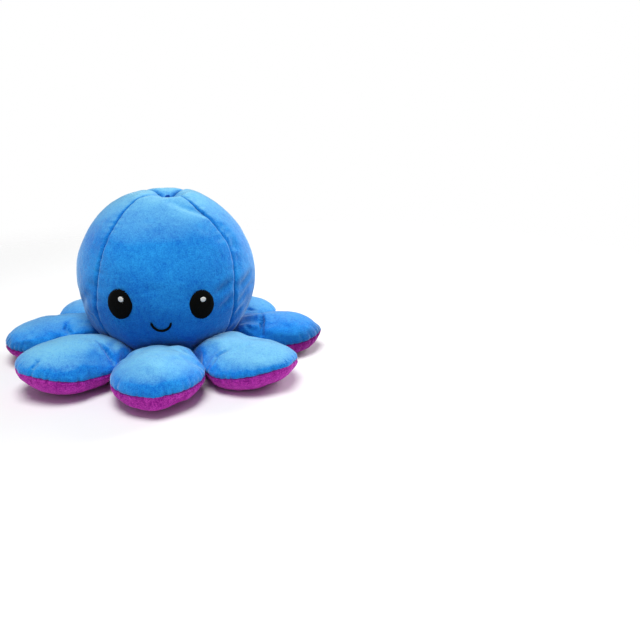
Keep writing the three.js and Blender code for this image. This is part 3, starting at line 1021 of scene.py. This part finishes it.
def embroider(prefix, surface, spacing, drop, tilt, span_of, mouth):
    made = {prefix + "_mouth": mouth}
    for name, hand in (("left", -1), ("right", 1)):
        middle = (hand * spacing / 2, -drop)
        glint = (middle[0] + GLINT_SHIFT - hand * GLINT_IN, middle[1] + GLINT_RISE)
        size = (EYE_WIDTH, EYE_HEIGHT)
        small = (2 * GLINT_RADIUS, 2 * GLINT_RADIUS)
        made[f"{prefix}_eye_{name}"] = satin_patch(
            surface, middle, -hand * tilt, size, span_of(hand), 0, SATIN_RISE)
        made[f"{prefix}_glint_{name}"] = satin_patch(
            surface, glint, math.pi / 2, small, oval(*small), SATIN_RISE, GLINT_DOME)
    return made


def seam_stitches(line):
    """Small slanted stitches that cross a head seam down in its groove."""
    count = int(run_along(line)[-1] / STITCH_SPACING)
    shares = (np.arange(count) + 0.5) / count
    at = resample(line, shares)
    ahead = heading(line, shares)
    out = unit(at - np.array([0, 0, HEAD_WAIST]))
    aside = np.cross(ahead, out)

    def lay(row, x, section, above):
        number = row.astype(int)
        sideways = aside[number] * (STITCH_REACH * x)[:, None]
        along = ahead[number] * (STITCH_THREAD * (x + section))[:, None]
        lift = out[number] * (STITCH_LIFT + STITCH_THREAD * above - STITCH_DIP * x * x)[:, None]
        return at[number] + sideways + along + lift

    return thread_rows(count, segments=3, lay=lay)


# Finishes
class Value:
    """A shader socket that takes part in Python arithmetic."""

    def __init__(self, finish, socket):
        self.finish = finish
        self.socket = socket

    def combine(self, operation, first, second):
        return self.finish.node("ShaderNodeMath", {"operation": operation}, {0: first, 1: second})["Value"]

    def __add__(self, other):
        return self.combine("ADD", self, other)

    def __sub__(self, other):
        return self.combine("SUBTRACT", self, other)

    def __mul__(self, other):
        return self.combine("MULTIPLY", self, other)


class Finish:
    """A material or world under construction."""

    def __init__(self, owner):
        self.owner = owner
        owner.use_nodes = True
        self.tree = owner.node_tree
        self.tree.nodes.clear()

    def node(self, kind, settings, inputs):
        made = self.tree.nodes.new(kind)
        for name, value in settings.items():
            setattr(made, name, value)
        for name, value in inputs.items():
            if isinstance(value, Value):
                self.tree.links.new(value.socket, made.inputs[name])
            else:
                made.inputs[name].default_value = value
        return {socket.name: Value(self, socket) for socket in made.outputs if socket.enabled}


def colour(red, green, blue):
    """A colour as it looks on a screen, from 0 to 255, made linear for the shader."""
    def linear(part):
        share = part / 255
        return share / 12.92 if share <= 0.04045 else ((share + 0.055) / 1.055) ** 2.4
    return (linear(red), linear(green), linear(blue), 1)


def shaded(tint, share):
    return tuple(share * part for part in tint[:3]) + (1,)


def blended(finish, factor, first, second):
    settings = {"data_type": "RGBA"}
    return finish.node("ShaderNodeMix", settings, {"Factor": factor, "A": first, "B": second})["Result"]


def cloudy(finish, at, scale, detail):
    return finish.node("ShaderNodeTexNoise", {}, {"Vector": at, "Scale": scale, "Detail": detail})["Fac"]


def relief(finish, strength, depth, height):
    settings = {"Strength": strength, "Distance": depth, "Height": height}
    return finish.node("ShaderNodeBump", {}, settings)["Normal"]


def noted(finish, name):
    return finish.node("ShaderNodeAttribute", {"attribute_name": name}, {})["Fac"]


def own_place(finish):
    return finish.node("ShaderNodeTexCoord", {}, {})["Object"]


def surfaced(finish, settings):
    """Gives a material its one surface."""
    skin = finish.node("ShaderNodeBsdfPrincipled", {}, settings)["BSDF"]
    finish.node("ShaderNodeOutputMaterial", {}, {"Surface": skin})
    return finish.owner


# Finishes: patches, clumps and hairs of pile, strands and patches of thread, and wisps of fibre, per metre,
# then how dark painted shade makes the pile, how much darker it is painted per metre pressed into seams and
# folds, and how little pile and thread shine
PATCHES = 55
CLUMPS = 420
HAIRS = 1500
STRANDS = 2600
THREAD_PATCHES = 300
WISPS = 700
SHADE = 0.35
PAINTED_CREASE_SHADE = 0.24 / MM
MATT = 0.04


def plush(name, deep, light, painted_highlight, sheen, weight, grain):
    """Short velvety pile: nap brushed in soft patches, small clumps and single hairs. Painted light makes it
    pale where it faces up, and painted shade deepens its colour further down and darkens it in the seams and
    folds."""
    finish = Finish(bpy.data.materials.new(name))
    at = own_place(finish)
    clumps = cloudy(finish, at, CLUMPS, 2)
    hairs = cloudy(finish, at, HAIRS, 1)
    nap = cloudy(finish, at, PATCHES, 2) + (clumps - 0.5) * (0.8 * grain) + (hairs - 0.5) * (1.7 * grain)
    painted_light_and_shade = noted(finish, "painted_light_and_shade")
    cloth = blended(finish, nap, deep, light)
    # Painted light on faces turned up, then painted shade on faces turned down and in the seams and folds
    cloth = blended(finish, painted_light_and_shade * (nap * 0.6 + 0.6), cloth, painted_highlight)
    cloth = blended(finish, painted_light_and_shade * -1, cloth, shaded(deep, SHADE))
    cloth = blended(finish, noted(finish, "depth_painted_dark") * PAINTED_CREASE_SHADE, cloth, shaded(deep, SHADE))
    return surfaced(finish, {
        "Base Color": cloth,
        "Roughness": 0.95,
        "Specular IOR Level": MATT,
        "Sheen Weight": weight,
        "Sheen Roughness": 0.4,
        "Sheen Tint": sheen,
        "Normal": relief(finish, 0.8, 0.5 * MM, clumps * 0.5 + hairs * 0.5),
    })


def sewing_thread(name, deep, light, gloss):
    """Embroidery thread with fine plied strands."""
    finish = Finish(bpy.data.materials.new(name))
    at = own_place(finish)
    strands = cloudy(finish, at, STRANDS, 2)
    return surfaced(finish, {
        "Base Color": blended(finish, cloudy(finish, at, THREAD_PATCHES, 2), deep, light),
        "Roughness": (strands - 0.5) * 0.2 + gloss,
        "Specular IOR Level": MATT,
        "Normal": relief(finish, 0.3, 0.2 * MM, strands),
    })


def fibrefill(name):
    finish = Finish(bpy.data.materials.new(name))
    wisps = cloudy(finish, own_place(finish), WISPS, 4)
    return surfaced(finish, {
        "Base Color": blended(finish, wisps, colour(214, 212, 204), colour(250, 249, 245)),
        "Roughness": 1.0,
        "Normal": relief(finish, 0.8, 1 * MM, wisps),
    })


# The third colour of each plush is its painted highlight on faces turned up
BLUE_PLUSH = plush("blue plush", colour(10, 108, 212), colour(46, 164, 246), colour(124, 200, 236),
                   colour(203, 237, 255), 0.75, 1.0)
PURPLE_PLUSH = plush("purple plush", colour(140, 18, 138), colour(206, 66, 190), colour(206, 120, 200),
                     colour(244, 130, 230), 0.7, 1.7)
FIBREFILL = fibrefill("fibrefill")
BLACK_THREAD = sewing_thread("black thread", colour(3, 3, 2), colour(9, 9, 7), 0.6)
WHITE_THREAD = sewing_thread("white thread", colour(214, 214, 210), colour(240, 240, 238), 0.5)
BLUE_THREAD = sewing_thread("blue thread", colour(14, 70, 150), colour(26, 98, 190), 0.6)


# The octopus
def sew():
    head, head_sewn = head_skin()
    lining = lining_skin()
    legs = [leg_skin(number) for number in range(len(LEGS))]
    stuff([(head, head_sewn, HEAD_STUFFING)] + [(skin, sewn, LEG_STUFFING) for skin, sewn in legs])
    seams = finish_head(head)
    finish_lining(lining)
    for number, (skin, _) in enumerate(legs):
        finish_leg(skin, number)
    return head, seams, lining, [skin for skin, _ in legs]


def side_of(piece):
    middle = places(piece).mean(axis=0)
    turn = (math.atan2(middle[0], -middle[1]) - HEAD_TURN) / (math.pi / 2)
    return SIDES[round(turn) % len(SIDES)]


def panels(skin, prefix, finish):
    for piece in part(skin):
        node = prefix + side_of(piece)
        thicken(piece)
        stand_for(piece, node, "plush", finish)
        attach(piece, "head")


def leg_pieces(skin, number):
    body = "leg_" + LEGS[number]
    out, _ = leg_axes(number)
    made = []
    for piece in part(skin):
        top = places(piece)[:, 2].mean() > HINGE_UP
        thicken(piece)
        if top:
            made.append(stand_for(piece, body + "_top", "plush", BLUE_PLUSH))
        else:
            made.append(stand_for(piece, body + "_underside", "plush", PURPLE_PLUSH))
    made.append(stand_for(leg_fill(number), body + "_fill", "fibre", FIBREFILL))
    for piece in made:
        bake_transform(piece)


def face_pieces(made):
    for name, piece in made.items():
        if "glint" in name:
            stand_for(piece, name, "satin", WHITE_THREAD)
        else:
            stand_for(piece, name, "satin", BLACK_THREAD)
        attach(piece, "head")


head, head_lines, lining, legs = sew()
panels(head, "head_panel_", BLUE_PLUSH)
panels(lining, "lining_panel_", PURPLE_PLUSH)
for number, skin in enumerate(legs):
    leg_pieces(skin, number)

filling = stand_for(head_filling(), "head_padding", "fibre", FIBREFILL)
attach(filling, "head")

tack = stand_for(crown_thread(), "crown_tack", "thread", BLUE_THREAD)
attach(tack, "head")

for number, line in enumerate(head_lines):
    name = f"head_seam_stitches_{SIDES[number]}"
    stitches = dress(seam_stitches(line), name, BLUE_THREAD)
    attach(stitches, "head")

smile = satin_line(on_head, SMILE_WIDTH, SMILE_DEPTH, -SMILE_DROP)
face_pieces(embroider("face", on_head, EYE_SPACING, EYE_DROP, EYE_TILT,
                      lambda hand: oval(EYE_WIDTH, EYE_HEIGHT), smile))
gather = POCKET_RADIUS / HEAD_RADIUS
frown_top = -(SMILE_DROP - EYE_DROP + SMILE_DEPTH)
frown = satin_line(on_lining, SMILE_WIDTH * gather, -SMILE_DEPTH * gather, frown_top)
face_pieces(embroider("inner_face", on_lining, EYE_SPACING * gather, 0, 0,
                      lambda hand: scowling(EYE_WIDTH, EYE_HEIGHT, hand), frown))


# Studio: floor and its fade into the backdrop, soft light of the room, and the camera
FLOOR_RADIUS = 0.6
FLOOR_FADE = (0.2, 0.55)
PAPER = (0.94, 0.94, 0.94, 1)
WHITE = (1, 1, 1, 1)
ROOM_LIGHT = 0.26
CAMERA_PLACE = (54.753 * MM, -416.382 * MM, 155.079 * MM)
CAMERA_AIM = (96.541 * MM, -9.925 * MM, 22.08 * MM)
CAMERA_LENS = 37.37

# Softboxes: name, place, size across and power
SOFTBOXES = [
    ("overhead softbox", (-0.05, -0.25, 1.1), 0.7, 10.5),
    ("side softbox", (0.55, 0.4, 0.3), 0.4, 3.1),
]


def floor():
    bpy.ops.mesh.primitive_circle_add(vertices=96, radius=FLOOR_RADIUS, fill_type="NGON")
    ground = bpy.context.object
    ground.name = "floor"
    finish = Finish(bpy.data.materials.new("pale floor"))
    far = finish.node("ShaderNodeVectorMath", {"operation": "LENGTH"}, {0: own_place(finish)})["Value"]
    start, end = FLOOR_FADE
    fade = finish.node("ShaderNodeMapRange", {"interpolation_type": "SMOOTHSTEP"}, {
        "Value": far, "From Min": start, "From Max": end, "To Min": 0, "To Max": 1})["Result"]
    below = finish.node("ShaderNodeNewGeometry", {}, {})["Backfacing"]
    paper = finish.node("ShaderNodeBsdfDiffuse", {}, {"Color": PAPER})["BSDF"]
    clear = finish.node("ShaderNodeBsdfTransparent", {}, {})["BSDF"]
    gone = finish.node("ShaderNodeMath", {"operation": "MAXIMUM"}, {0: fade, 1: below})["Value"]
    shown = finish.node("ShaderNodeMixShader", {}, {0: gone, 1: paper, 2: clear})["Shader"]
    finish.node("ShaderNodeOutputMaterial", {}, {"Surface": shown})
    ground.data.materials.append(finish.owner)


def lights():
    world = bpy.data.worlds.new("studio")
    bpy.context.scene.world = world
    finish = Finish(world)
    ray = finish.node("ShaderNodeLightPath", {}, {})
    seen = ray["Is Camera Ray"] + ray["Is Glossy Ray"] + ray["Is Transmission Ray"]
    seen = finish.node("ShaderNodeMath", {"operation": "MINIMUM"}, {0: seen, 1: 1})["Value"]
    white = finish.node("ShaderNodeBackground", {}, {"Color": WHITE, "Strength": 1})["Background"]
    soft = finish.node("ShaderNodeBackground", {}, {"Color": WHITE, "Strength": ROOM_LIGHT})["Background"]
    both = finish.node("ShaderNodeMixShader", {}, {0: seen, 1: soft, 2: white})["Shader"]
    finish.node("ShaderNodeOutputWorld", {}, {"Surface": both})
    for name, place, size, power in SOFTBOXES:
        lamp = bpy.data.lights.new(name, "AREA")
        lamp.shape = "DISK"
        lamp.size = size
        lamp.energy = power
        box = bpy.data.objects.new(name, lamp)
        box.location = place
        box.rotation_euler = (Vector((0, 0, HEAD_WAIST)) - box.location).to_track_quat("-Z", "Y").to_euler()
        bpy.context.scene.collection.objects.link(box)


def camera():
    lens = bpy.data.cameras.new("camera")
    lens.sensor_width = 36
    lens.lens = CAMERA_LENS
    lens.clip_start = 0.01
    lens.clip_end = 20
    eye = bpy.data.objects.new("camera", lens)
    eye.location = CAMERA_PLACE
    eye.rotation_euler = (Vector(CAMERA_AIM) - eye.location).to_track_quat("-Z", "Y").to_euler()
    bpy.context.scene.collection.objects.link(eye)
    bpy.context.scene.camera = eye


floor()
lights()
camera()
bpy.context.scene.view_settings.view_transform = "Standard"
